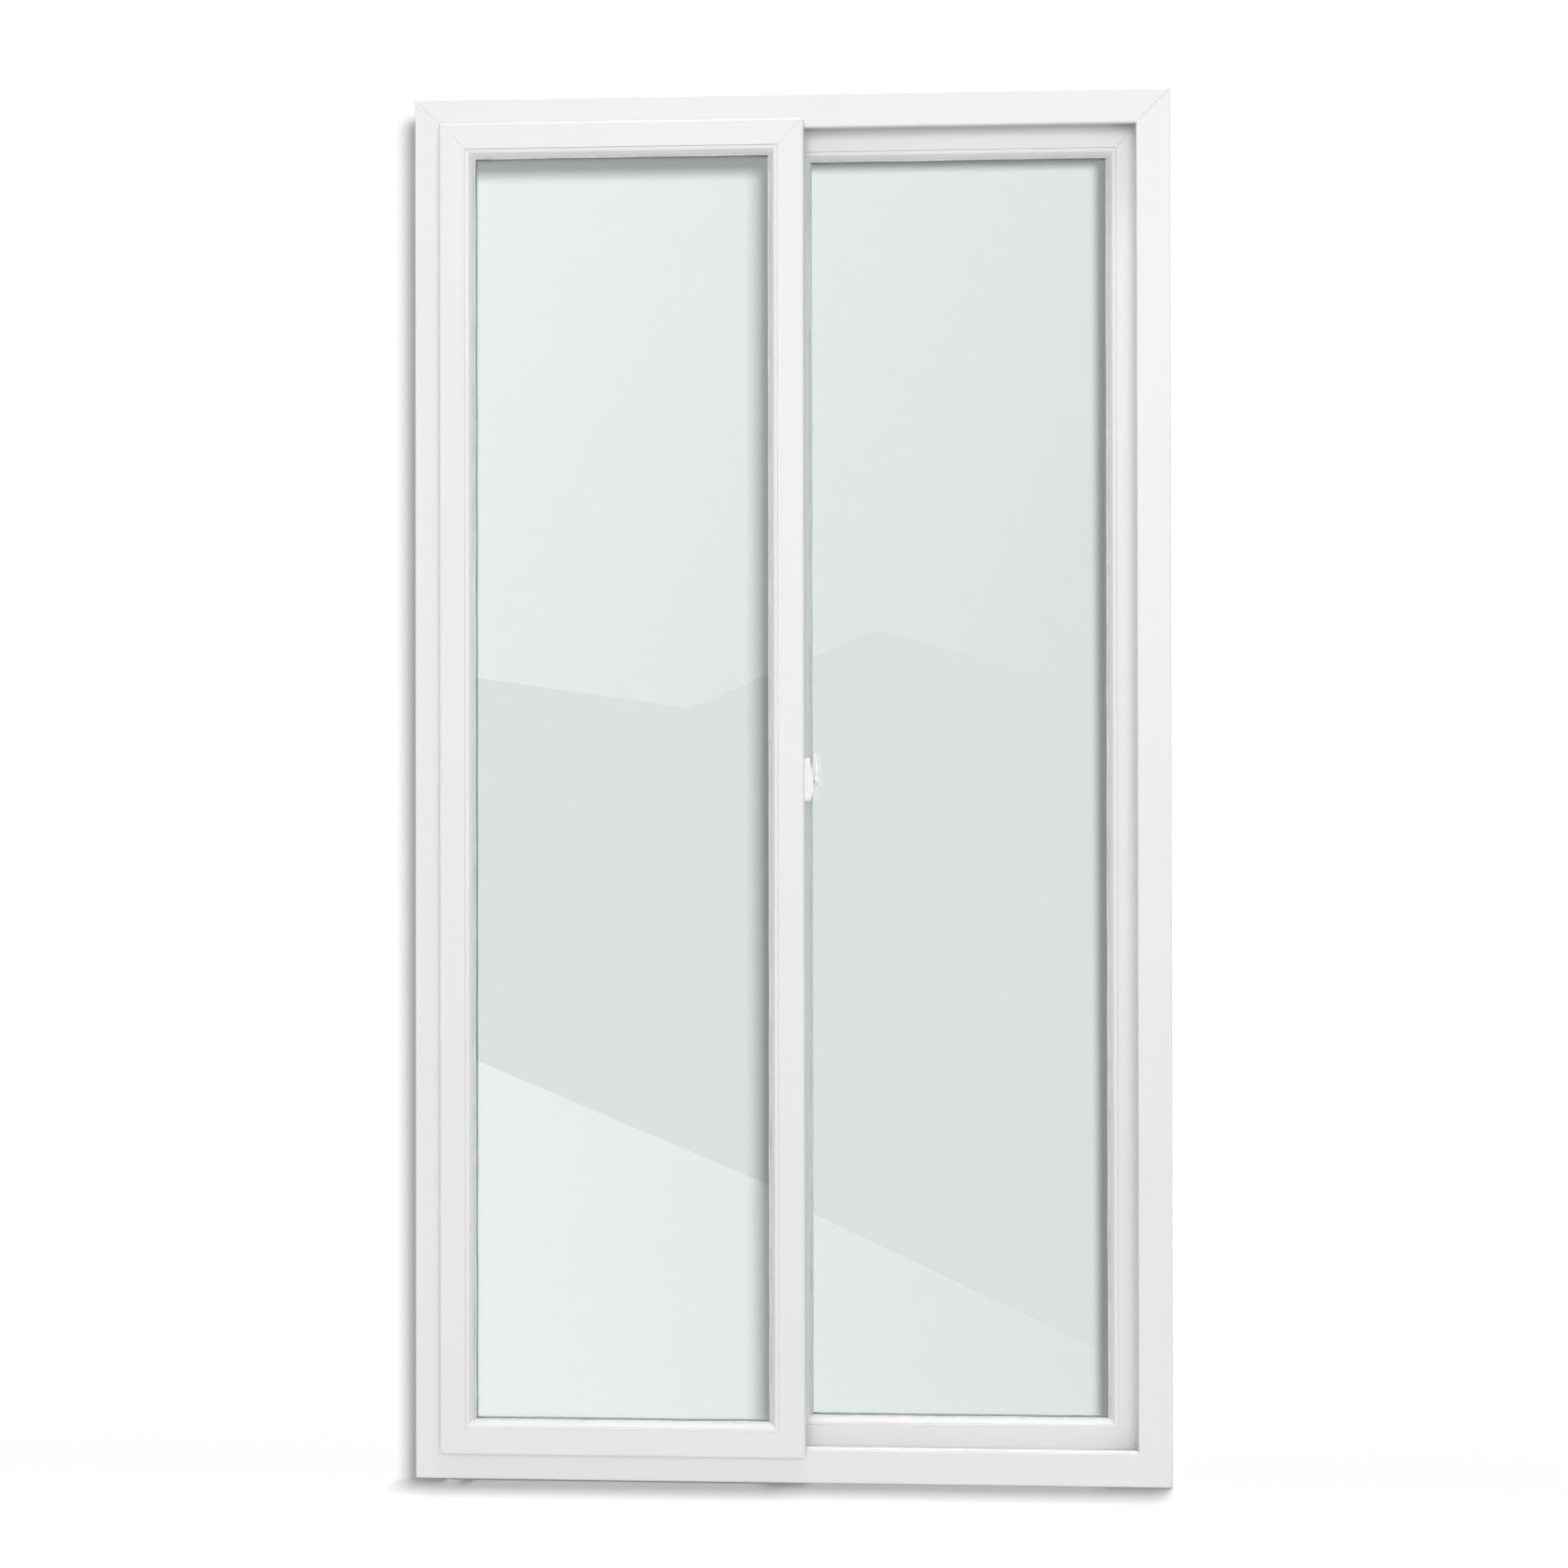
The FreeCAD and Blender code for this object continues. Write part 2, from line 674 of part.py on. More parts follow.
def latch_keeper():
    """Bracket on the fixed panel whose lip stands beyond the crescent."""
    face = panel_gap / 2.0
    lip_start = latch_face + crescent_play + crescent_thickness + keeper_play
    lip_end = lip_start + keeper_thickness
    flange_start = lip_end - keeper_flange
    low = latch_height - keeper_length / 2.0
    high = latch_height + keeper_length / 2.0
    corners = [(flange_start, low, keeper_round), (lip_end, low, keeper_round),
               (lip_end, high, keeper_round), (flange_start, high, keeper_round)]
    flange = outline_face(corners, lambda x, z: vec(x, face - keeper_thickness, z))
    flange = flange.extrude(vec(0, keeper_thickness, 0))
    half_lip = keeper_lip_length / 2.0
    lip_tip = face - keeper_lip_reach
    lip_plan = [(face, latch_height - half_lip, 0), (lip_tip, latch_height - half_lip, keeper_round),
                (lip_tip, latch_height + half_lip, keeper_round), (face, latch_height + half_lip, 0)]
    lip = outline_face(lip_plan, lambda y, z: vec(lip_start, y, z)).extrude(vec(keeper_thickness, 0, 0))
    return flange.fuse(lip).removeSplitter()


def save_panel(name, rect, y_mid, stiles):
    """The four members, beads, glass, spacer and gaskets of one panel."""
    save(name + "_top_rail", sash_member(rect, "top", y_mid))
    save(name + "_bottom_rail", sash_member(rect, "bottom", y_mid))
    for side in ("left", "right"):
        save(name + "_" + stiles[side] + "_stile", sash_member(rect, side, y_mid))
    for side in SIDES:
        save(name + "_" + side + "_bead", mitred(bead_section(), rect, side, y_mid))
    save(name + "_front_glass", pane(rect, y_mid + glass_front))
    save(name + "_rear_glass", pane(rect, y_mid + glass_back - pane_thickness))
    save(name + "_spacer", spacer(rect, y_mid))
    save(name + "_front_gasket", ring(gasket_section(glass_front, bead_back), rect, y_mid))
    save(name + "_rear_gasket", ring(gasket_section(glass_back, rear_wall), rect, y_mid))


def main():
    os.makedirs("parts", exist_ok=True)
    save("frame_head", frame_member("top"))
    save("frame_sill", frame_sill())
    save("frame_left_jamb", frame_jamb("left"))
    save("frame_right_jamb", frame_jamb("right"))
    save("sill_track", sill_track())
    save("travel_stops", travel_stops())
    save_panel("fixed_panel", fixed_rect, fixed_y, {"left": "meeting", "right": "jamb"})
    save("fixed_panel_interlock", interlock(1))
    save("fixed_panel_stile_cover", stile_cover(fixed_rect, "left", fixed_y))
    save("fixed_panel_packers", fixed_panel_packers())
    save("fixed_panel_brush_seals", brush_seals(fixed_rect, fixed_y, ("bottom", "top", "right")))
    save_panel("sliding_panel", sliding_rect, sliding_y, {"left": "jamb", "right": "meeting"})
    save("sliding_panel_interlock", sliding_interlock())
    save("sliding_panel_stile_cover", stile_cover(sliding_rect, "right", sliding_y))
    save("sliding_panel_brush_seals", brush_seals(sliding_rect, sliding_y, ("bottom", "top", "left")))
    save("roller_carriages", roller_carriages())
    save("roller_wheels", roller_wheels())
    save("latch_base", latch_base())
    save("latch_cover", latch_cover())
    save("latch_crescent", latch_crescent())
    save("latch_handle", latch_handle())
    save("latch_keeper", latch_keeper())


main()
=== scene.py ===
import json
import math
import random

import bmesh
import bpy
from mathutils import Matrix, Vector

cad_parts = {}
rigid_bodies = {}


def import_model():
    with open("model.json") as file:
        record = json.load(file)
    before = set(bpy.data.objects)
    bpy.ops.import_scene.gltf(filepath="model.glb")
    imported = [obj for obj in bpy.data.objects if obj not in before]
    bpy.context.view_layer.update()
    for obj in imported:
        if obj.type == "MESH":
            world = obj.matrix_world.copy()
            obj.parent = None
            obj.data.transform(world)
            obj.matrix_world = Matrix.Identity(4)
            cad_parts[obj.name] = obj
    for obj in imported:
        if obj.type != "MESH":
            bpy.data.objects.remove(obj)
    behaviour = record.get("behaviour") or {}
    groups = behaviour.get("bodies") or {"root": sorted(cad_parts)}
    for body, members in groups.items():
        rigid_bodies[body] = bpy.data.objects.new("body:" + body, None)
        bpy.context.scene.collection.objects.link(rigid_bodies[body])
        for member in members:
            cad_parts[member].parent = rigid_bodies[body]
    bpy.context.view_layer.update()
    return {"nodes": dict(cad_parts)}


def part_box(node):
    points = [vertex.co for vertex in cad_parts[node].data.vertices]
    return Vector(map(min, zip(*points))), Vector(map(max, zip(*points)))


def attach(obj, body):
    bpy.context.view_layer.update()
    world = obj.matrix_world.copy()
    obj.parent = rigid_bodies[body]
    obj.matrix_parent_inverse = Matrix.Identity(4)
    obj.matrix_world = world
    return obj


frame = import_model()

MM = 0.001
MICRON = 0.001 * MM
LEVEL, UPRIGHT = 0, 2  # axes that members run along
NODES = frame["nodes"]

# Camera, from the photograph's perspective. The turn is yaw, pitch and roll in degrees.
CAMERA_PLACE = (0.26565, -4.5, 1.07945)
CAMERA_TURN = (3.5343, 0.3339, 0.0807)
CAMERA_LENS = 64.8176
CAMERA_REACH = 100.0
SENSOR = 36.0

# Sizes repeated from the part's source, in metres
GASKET_EDGE = 54.5 * MM
LATCH_SCREW_Y = -26.5 * MM

# Added pieces, in metres
GLASS_CLEARANCE = 0.05 * MM
LIP_CLEARANCE = 0.1 * MM
LIP_HALF_WIDTH = 1.3 * MM
LIP_HEIGHT = 0.9 * MM
LIP_STEP = 12 * MM
LIP_EASE = 30 * MM
LATCH_SCREW_RADIUS = 3.2 * MM
KEEPER_SCREW_RADIUS = 3.6 * MM
KEEPER_SCREW_INSET = (10 * MM, 2.5 * MM, 8 * MM)
SCREW_SIDES = 48

# Stage, in metres
WALL_Y = 0.07
WALL_HALF_WIDTH = 1.6
WALL_FOOT, WALL_TOP = -0.05, 3.2
FLOOR_REACH = 9.0
FLOOR_LEAD = 12 * MM
DOOR_HALF_WIDTH = 0.6
POST_FOOT, POST_HEAD = -80 * MM, -0.5 * MM
WORLD_LIGHT = 0.38

# Yard that the glass mirrors. Its lines are given where they show in the glass, as x and z.
MIRROR_Y = -9 * MM
CARD_Y = -9.0
YARD_LEFT, YARD_RIGHT = -2.0, 5.0
SKY_TOP, GROUND_END = 6.0, -2.0
BANK_TOP = [(YARD_LEFT, 1.492), (-0.161, 1.227), (0.134, 1.351), (YARD_RIGHT, 0.08)]
BANK_FOOT = [(YARD_LEFT, 1.289), (-0.037, 0.4695), (0.031, 0.419), (YARD_RIGHT, -1.9)]
SKY_GLOW, BANK_GLOW, GROUND_GLOW = 1.244, 0.22, 1.124


def camera_turn():
    yaw, pitch, roll = (math.radians(a) for a in CAMERA_TURN)
    return Matrix.Rotation(yaw, 3, "Z") @ Matrix.Rotation(pitch, 3, "X") @ Matrix.Rotation(roll, 3, "Y")


def make_camera():
    right, forward, up = camera_turn().col
    matrix = Matrix((right, up, -forward)).transposed().to_4x4()
    matrix.translation = CAMERA_PLACE
    data = bpy.data.cameras.new("photo_camera")
    data.sensor_width = SENSOR
    data.lens = CAMERA_LENS
    data.clip_end = CAMERA_REACH
    camera = bpy.data.objects.new("photo_camera", data)
    camera.matrix_world = matrix
    bpy.context.scene.collection.objects.link(camera)
    bpy.context.scene.camera = camera


# Materials

class Tree:
    """Short calls to add and join shader nodes, in a new material or in the world."""

    def __init__(self, name, data=None):
        self.owner = data or bpy.data.materials.new(name)
        self.owner.use_nodes = True
        self.tree = self.owner.node_tree
        self.shader = self.tree.nodes.get("Principled BSDF")
        self.out = self.tree.nodes.get("Material Output") or self.tree.nodes.get("World Output")
        self.coords = None

    def add(self, kind, **settings):
        node = self.tree.nodes.new(kind)
        for key, value in settings.items():
            setattr(node, key, value)
        return node

    def join(self, source, target):
        self.tree.links.new(source, target)

    def put(self, socket, value):
        """Constant value of the main shader."""
        self.shader.inputs[socket].default_value = value

    def feed(self, socket, source):
        """Pattern that drives the main shader."""
        self.join(source, self.shader.inputs[socket])

    def surface(self, source):
        self.join(source, self.out.inputs["Surface"])

    def place(self, stretch):
        """Object coordinates in metres times the stretch along each axis."""
        if self.coords is None:
            self.coords = self.add("ShaderNodeTexCoord").outputs["Object"]
        mapping = self.add("ShaderNodeMapping")
        mapping.inputs["Scale"].default_value = stretch
        self.join(self.coords, mapping.inputs["Vector"])
        return mapping.outputs["Vector"]

    def noise(self, stretch, detail=2.0, rough=0.5):
        node = self.add("ShaderNodeTexNoise")
        node.inputs["Scale"].default_value = 1.0
        node.inputs["Detail"].default_value = detail
        node.inputs["Roughness"].default_value = rough
        self.join(self.place(stretch), node.inputs["Vector"])
        return node.outputs["Fac"]

    def span(self, value, low, high, start=0.3, end=0.7):
        """Low to high, as value goes from start to end."""
        node = self.add("ShaderNodeMapRange")
        node.inputs["From Min"].default_value = start
        node.inputs["From Max"].default_value = end
        node.inputs["To Min"].default_value = low
        node.inputs["To Max"].default_value = high
        self.join(value, node.inputs["Value"])
        return node.outputs["Result"]

    def blend(self, factor, first, second):
        """Colour between two, by factor."""
        node = self.add("ShaderNodeMix", data_type="RGBA")
        self.join(factor, node.inputs[0])
        node.inputs[6].default_value = (*first, 1.0)
        node.inputs[7].default_value = (*second, 1.0)
        return node.outputs[2]

    def mottle(self, pattern, first, second):
        """Colour between two, by a noise pattern."""
        return self.blend(self.span(pattern, 0.0, 1.0), first, second)

    def bump(self, height, distance, normal=None):
        node = self.add("ShaderNodeBump")
        node.inputs["Distance"].default_value = distance
        node.inputs["Strength"].default_value = 1.0
        self.join(height, node.inputs["Height"])
        if normal is not None:
            self.join(normal, node.inputs["Normal"])
        return node.outputs["Normal"]

    def math(self, operation, first, second):
        node = self.add("ShaderNodeMath", operation=operation)
        for socket, value in ((node.inputs[0], first), (node.inputs[1], second)):
            if isinstance(value, float):
                socket.default_value = value
            else:
                self.join(value, socket)
        return node.outputs[0]

    def either(self, factor, first, second):
        """First shader where factor is 0, second where it is 1."""
        node = self.add("ShaderNodeMixShader")
        for socket, source in zip(node.inputs, (factor, first, second)):
            self.join(source, socket)
        return node.outputs[0]

    def emission(self, strength):
        node = self.add("ShaderNodeEmission")
        node.inputs["Strength"].default_value = strength
        return node.outputs[0]


def even(scale):
    """Texture stretch that is the same along every axis."""
    return (scale, scale, scale)


def along(axis, length, across):
    """Texture stretch for streaks that run along one axis."""
    return tuple(length if i == axis else across for i in range(3))


def pvc(name, axis):
    """Extruded white PVC: faint die lines along the member, satin sheen, slight changes of shade."""
    t = Tree(name)
    shade = t.noise(even(3.0), detail=3.0)
    t.feed("Base Color", t.mottle(shade, (0.845, 0.846, 0.842), (0.868, 0.868, 0.864)))
    satin = t.noise(along(axis, 2.0, 160.0), detail=3.0)
    t.feed("Roughness", t.span(satin, 0.3, 0.37))
    t.put("IOR", 1.5)
    lines = t.bump(t.noise(along(axis, 1.5, 420.0)), 4 * MICRON)
    grain = t.bump(t.noise(even(2400.0)), 4 * MICRON, normal=lines)
    wave = t.bump(t.noise(along(axis, 2.0, 9.0), detail=1.0), 60 * MICRON, normal=grain)
    t.feed("Normal", wave)
    return t.owner


def glass():
    """Clear float glass with a green-grey body colour, which lets lamps through."""
    t = Tree("float_glass")
    t.put("Base Color", (0.892, 0.917, 0.901, 1.0))
    t.put("IOR", 1.5)
    t.put("Transmission Weight", 1.0)
    t.feed("Roughness", t.span(t.noise(even(5.0), detail=4.0), 0.0, 0.02))
    t.feed("Normal", t.bump(t.noise((2.0, 2.0, 7.0), detail=1.0), 4 * MICRON))
    clear = t.add("ShaderNodeBsdfTransparent")
    clear.inputs["Color"].default_value = (0.975, 0.977, 0.976, 1.0)
    shadow = t.add("ShaderNodeLightPath").outputs["Is Shadow Ray"]
    t.surface(t.either(shadow, t.shader.outputs[0], clear.outputs[0]))
    return t.owner


def rubber(name, dark, light):
    """Matt rubber with a fine grain."""
    t = Tree(name)
    patch = t.noise((60.0, 60.0, 25.0), detail=4.0, rough=0.6)
    t.feed("Base Color", t.mottle(patch, dark, light))
    t.feed("Roughness", t.span(patch, 0.55, 0.75))
    t.feed("Normal", t.bump(t.noise(even(1500.0)), 30 * MICRON))
    return t.owner


def metal(name, colour, axis, rough):
    """Drawn or plated metal with fine streaks along one axis."""
    t = Tree(name)
    t.put("Metallic", 1.0)
    streak = t.noise(along(axis, 6.0, 900.0), detail=3.0)
    stain = t.noise(even(14.0), detail=4.0)
    dull = tuple(c * 0.84 for c in colour)
    t.feed("Base Color", t.mottle(stain, dull, colour))
    t.feed("Roughness", t.span(streak, rough - 0.07, rough + 0.1))
    t.feed("Normal", t.bump(streak, 10 * MICRON))
    return t.owner


def spacer_bar():
    """Mill aluminium with rows of pinholes that let the drying beads breathe; the holes are painted near
    black as shade.
    """
    t = Tree("spacer_bar")
    t.put("Metallic", 1.0)
    cells = t.add("ShaderNodeTexVoronoi")
    cells.inputs["Scale"].default_value = 1.0
    cells.inputs["Randomness"].default_value = 0.0
    t.join(t.place(even(250.0)), cells.inputs["Vector"])
    hole = t.span(cells.outputs["Distance"], 0.0, 1.0, start=0.12, end=0.2)
    # The pinholes get a near-black colour: painted shade for the hollow inside each hole, over a slight dip
    # from the bump.
    t.feed("Base Color", t.blend(hole, (0.05, 0.05, 0.05), (0.62, 0.63, 0.64)))
    t.feed("Roughness", t.span(t.noise(even(30.0), detail=3.0), 0.3, 0.45))
    t.feed("Normal", t.bump(hole, 0.2 * MM))
    return t.owner


def pile():
    """Grey woven pile, with its fibres across the strip."""
    t = Tree("brush_pile")
    fibre = t.noise((1600.0, 60.0, 1600.0), detail=3.0, rough=0.7)
    t.feed("Base Color", t.mottle(fibre, (0.18, 0.185, 0.185), (0.42, 0.43, 0.43)))
    t.put("Roughness", 0.9)
    t.put("Sheen Weight", 0.4)
    t.feed("Normal", t.bump(fibre, 0.4 * MM))
    return t.owner


def moulded(name, dark, light, rough):
    """Injection-moulded plastic with a fine spark-eroded grain."""
    t = Tree(name)
    cloud = t.noise(even(40.0), detail=3.0)
    t.feed("Base Color", t.mottle(cloud, dark, light))
    t.feed("Roughness", t.span(cloud, rough - 0.06, rough + 0.06))
    t.feed("Normal", t.bump(t.noise(even(2200.0)), 30 * MICRON))
    return t.owner


def enamel():
    """White stoved enamel on the die-cast latch, with a slight orange peel."""
    t = Tree("latch_enamel")
    cloud = t.noise(even(40.0))
    t.feed("Base Color", t.mottle(cloud, (0.895, 0.895, 0.89), (0.905, 0.905, 0.9)))
    t.feed("Roughness", t.span(cloud, 0.24, 0.3))
    t.put("Coat Weight", 0.2)
    t.feed("Normal", t.bump(t.noise(even(900.0), detail=1.0), 6 * MICRON))
    return t.owner


def dress():
    """Give every node of the part a material, and return those that the added pieces share."""
    level = pvc("white_pvc_level", LEVEL)
    upright = pvc("white_pvc_upright", UPRIGHT)
    panes = glass()
    steel = metal("latch_steel", (0.66, 0.66, 0.67), UPRIGHT, rough=0.32)
    white = enamel()
    gasket = rubber("gasket_rubber", (0.68, 0.72, 0.69), (0.82, 0.85, 0.83))
    by_name = {
        "sill_track": metal("track_aluminium", (0.78, 0.79, 0.8), LEVEL, rough=0.3),
        "travel_stops": rubber("buffer_rubber", (0.016, 0.016, 0.016), (0.03, 0.03, 0.03)),
        "fixed_panel_packers": moulded("packer_plastic", (0.05, 0.1, 0.26), (0.07, 0.13, 0.3), rough=0.5),
        "roller_carriages": moulded("carriage_plastic", (0.05, 0.05, 0.052), (0.07, 0.07, 0.072), rough=0.5),
        "roller_wheels": moulded("wheel_nylon", (0.7, 0.69, 0.64), (0.76, 0.75, 0.7), rough=0.45),
        "latch_crescent": steel, "latch_keeper": steel,
        "latch_base": white, "latch_cover": white, "latch_handle": white,
    }
    by_ending = {
        "glass": panes, "spacer": spacer_bar(), "gasket": gasket, "seals": pile(),
        "head": level, "sill": level, "rail": level, "top_bead": level, "bottom_bead": level,
        "jamb": upright, "stile": upright, "interlock": upright, "cover": upright,
        "left_bead": upright, "right_bead": upright,
    }
    for name, node in NODES.items():
        look = by_name.get(name) or next(m for ending, m in by_ending.items() if name.endswith(ending))
        node.data.materials.clear()
        node.data.materials.append(look)
        if look is panes:
            skin = node.modifiers.new("clear_of_gasket", "DISPLACE")
            skin.mid_level = 0.0
            skin.strength = -GLASS_CLEARANCE
    return steel, gasket


# Pieces added to the part

def add_mesh(name, mesh_source, material, body, smooth):
    bmesh.ops.recalc_face_normals(mesh_source, faces=mesh_source.faces)
    mesh = bpy.data.meshes.new(name)
    mesh_source.to_mesh(mesh)
    mesh_source.free()
    mesh.materials.append(material)
    for face in mesh.polygons:
        face.use_smooth = smooth
    obj = bpy.data.objects.new(name, mesh)
    bpy.context.scene.collection.objects.link(obj)
    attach(obj, body)


def inward_of(start, end):
    """Unit vector into the pane from an edge that runs round it."""
    return Vector((start[1] - end[1], 0, end[0] - start[0])).normalized()


def gasket_lip(name, panel, side, material, body):
    """The soft edge of a glazing gasket, which never lies quite straight on the glass."""
    rng = random.Random(name)
    low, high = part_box(panel + "_top_rail")
    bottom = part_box(panel + "_bottom_rail")[0]
    x0, x1 = low.x + GASKET_EDGE, high.x - GASKET_EDGE
    z0, z1 = bottom.z + GASKET_EDGE, high.z - GASKET_EDGE
    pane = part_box(panel + ("_front_glass" if side < 0 else "_rear_glass"))
    face = (pane[0].y if side < 0 else pane[1].y) + side * LIP_CLEARANCE
    waves = [(rng.uniform(2.0, 40.0), rng.uniform(0.0, 6.3), rng.uniform(0.06, 0.16) * MM) for _ in range(6)]
    section = [(math.cos(a), math.sin(a)) for a in (math.pi * i / 6 for i in range(7))]
    corners = [(x0, z0), (x1, z0), (x1, z1), (x0, z1)]
    edges = list(zip(corners, corners[1:] + corners[:1]))
    rings = []
    bm = bmesh.new()
    for k, (start, end) in enumerate(edges):
        run = Vector((end[0] - start[0], 0, end[1] - start[1]))
        count = max(2, round(run.length / LIP_STEP))
        for i in range(count):
            share = i / count
            here = run.length * share
            point = Vector((start[0], face, start[1])) + run * share
            ease = min(1.0, here / LIP_EASE, (run.length - here) / LIP_EASE)
            sway = sum(size * math.sin(rate * here + phase) for rate, phase, size in waves) * ease
            swell = 1.0 + 0.25 * math.sin(waves[0][0] * 1.7 * here + waves[1][1])
            out = inward_of(start, end)
            if i == 0:
                out += inward_of(*edges[k - 1])
            ring = []
            for c, s in section:
                rise = Vector((0, side * LIP_HEIGHT * swell * s, 0))
                ring.append(bm.verts.new(point + out * (sway + LIP_HALF_WIDTH * c) + rise))
            rings.append(ring)
    for first, second in zip(rings, rings[1:] + rings[:1]):
        for i in range(len(section) - 1):
            bm.faces.new((first[i], second[i], second[i + 1], first[i + 1]))
        bm.faces.new((first[-1], second[-1], second[0], first[0]))
    add_mesh(name, bm, material, body, smooth=True)


def screw(name, place, axis, radius, material, body):
    """Low pan head with a cross recess, set on the surface at place."""
    turn = Vector(axis).normalized().to_track_quat("Z", "Y").to_matrix()
    arm, half = radius * 0.62, radius * 0.16
    deep, rise, rim = radius * 0.45, radius * 0.3, radius * 0.16
    taper = 0.7
    head = [(radius * 0.8, rise * 0.92), (radius * 0.95, rise * 0.6), (radius, rise * 0.2), (radius, -rim)]
    bm = bmesh.new()

    def vert(u, v, w):
        return bm.verts.new(Vector(place) + turn @ Vector((u, v, w)))

    def circle(r, w):
        angles = [2 * math.pi * i / SCREW_SIDES for i in range(SCREW_SIDES)]
        return [vert(r * math.cos(a), r * math.sin(a), w) for a in angles]

    # The cross, three corners to each of its four arms
    outline = []
    for k in range(4):
        c, s = round(math.cos(k * math.pi / 2)), round(math.sin(k * math.pi / 2))
        outline += [(c * u - s * v, s * u + c * v) for u, v in ((arm, -half), (arm, half), (half, half))]
    corners = len(outline)
    top = [vert(u, v, rise) for u, v in outline]
    floor = [vert(u * taper, v * taper, rise - deep) for u, v in outline]
    rings = [circle(r, w) for r, w in head]
    for first, second in zip(rings, rings[1:]):
        for i in range(SCREW_SIDES):
            after = (i + 1) % SCREW_SIDES
            bm.faces.new((first[i], second[i], second[after], first[after]))
    for i in range(corners):
        after = (i + 1) % corners
        bm.faces.new((top[i], top[after], floor[after], floor[i]))
    bm.faces.new(floor)

    # The top face, in one piece between two arms and one beyond the end of each
    quarter = SCREW_SIDES // 4
    tip = math.atan2(half, arm) * SCREW_SIDES / (2 * math.pi)
    for k in range(4):
        first_arc, last_arc = math.ceil(quarter * k + tip), math.floor(quarter * (k + 1) - tip)
        arc = [rings[0][i % SCREW_SIDES] for i in range(first_arc, last_arc + 1)]
        a, b, c = top[3 * k + 1], top[3 * k + 2], top[(3 * k + 3) % corners]
        bm.faces.new([a] + arc + [c, b])
        before_arc = math.floor(quarter * k - tip)
        end_arc = [rings[0][i % SCREW_SIDES] for i in range(before_arc, first_arc + 1)]
        bm.faces.new([top[3 * k]] + end_arc + [a])
    add_mesh(name, bm, material, body, smooth=False)


def add_pieces(steel, gasket):
    for panel, body in (("sliding_panel", "sliding_panel"), ("fixed_panel", "frame")):
        gasket_lip(panel + "_front_gasket_lip", panel, -1, gasket, body)
        gasket_lip(panel + "_rear_gasket_lip", panel, 1, gasket, body)
    cover_low, cover_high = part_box("latch_cover")
    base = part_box("latch_base")[0].x
    latch_spots = (
        ("upper", base + 8.5 * MM, cover_high.z - 5.2 * MM, (1, 0, 0)),
        ("lower", base + 11.25 * MM, cover_low.z + 7.75 * MM, (15.5, 0, -6.5)),
    )
    for word, x, z, axis in latch_spots:
        screw("latch_screw_" + word, (x, LATCH_SCREW_Y, z), axis, LATCH_SCREW_RADIUS, steel, "sliding_panel")
    keeper_low, keeper_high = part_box("latch_keeper")
    inset_x, inset_y, inset_z = KEEPER_SCREW_INSET
    for word, z in (("upper", keeper_high.z - inset_z), ("lower", keeper_low.z + inset_z)):
        place = (keeper_low.x + inset_x, keeper_high.y - inset_y, z)
        screw("keeper_screw_" + word, place, (0, -1, 0), KEEPER_SCREW_RADIUS, steel, "frame")


# Stage and light

def card(name, material, *sheets):
    """Flat stage piece of one or more sheets, each given by its corners."""
    mesh = bpy.data.meshes.new(name)
    corners, faces = [], []
    for sheet in sheets:
        faces.append(tuple(range(len(corners), len(corners) + len(sheet))))
        corners += [tuple(c) for c in sheet]
    mesh.from_pydata(corners, [], faces)
    mesh.materials.append(material)
    obj = bpy.data.objects.new(name, mesh)
    bpy.context.scene.collection.objects.link(obj)
    return obj


def hide_from(obj, *rays):
    """Keep a stage piece out of the sight of some kinds of ray."""
    for ray in rays:
        setattr(obj, "visible_" + ray, False)


def seen_rays(t):
    """1 for rays that show the background to the eye, straight or by way of gloss and glass."""
    path = t.add("ShaderNodeLightPath")
    sight = t.math("MAXIMUM", path.outputs["Is Camera Ray"], path.outputs["Is Glossy Ray"])
    return t.math("MAXIMUM", sight, path.outputs["Is Transmission Ray"])


def mirrored(t):
    """1 for rays that have been mirrored on their way."""
    return t.math("GREATER_THAN", t.add("ShaderNodeLightPath").outputs["Glossy Depth"], 0.5)


def backfacing(t):
    """1 behind the surface."""
    return t.add("ShaderNodeNewGeometry").outputs["Backfacing"]


def glowing(name, albedo, glow, fill, clear):
    """Matt stage surface with a base glow, which keeps shadows where it is seen and gives even fill light
    to the part. It can't be seen where clear gives 1."""
    t = Tree(name)
    t.tree.nodes.remove(t.shader)
    matt = t.add("ShaderNodeBsdfDiffuse")
    matt.inputs["Color"].default_value = (albedo, albedo, albedo, 1.0)
    both = t.add("ShaderNodeAddShader")
    t.join(matt.outputs[0], both.inputs[0])
    t.join(t.emission(glow), both.inputs[1])
    solid = t.either(seen_rays(t), t.emission(fill), both.outputs[0])
    t.surface(t.either(clear(t), solid, t.add("ShaderNodeBsdfTransparent").outputs[0]))
    return t.owner


def slope_glow(name, start, end, bright, dark):
    """Glow that falls from bright to dark between two points where it is mirrored, and is white elsewhere."""
    t = Tree(name)
    t.tree.nodes.remove(t.shader)
    coords = t.add("ShaderNodeTexCoord").outputs["Object"]
    run = Vector(end) - Vector(start)
    dot = t.add("ShaderNodeVectorMath", operation="DOT_PRODUCT")
    dot.inputs[1].default_value = run / run.length_squared
    t.join(coords, dot.inputs[0])
    offset = Vector(start).dot(run) / run.length_squared
    level = t.span(dot.outputs["Value"], bright, dark, offset, offset + 1.0)
    mix = t.add("ShaderNodeMix", data_type="FLOAT")
    mix.inputs[2].default_value = 1.0
    t.join(mirrored(t), mix.inputs[0])
    t.join(level, mix.inputs[3])
    light = t.add("ShaderNodeEmission")
    t.join(mix.outputs[0], light.inputs["Strength"])
    t.surface(light.outputs[0])
    return t.owner


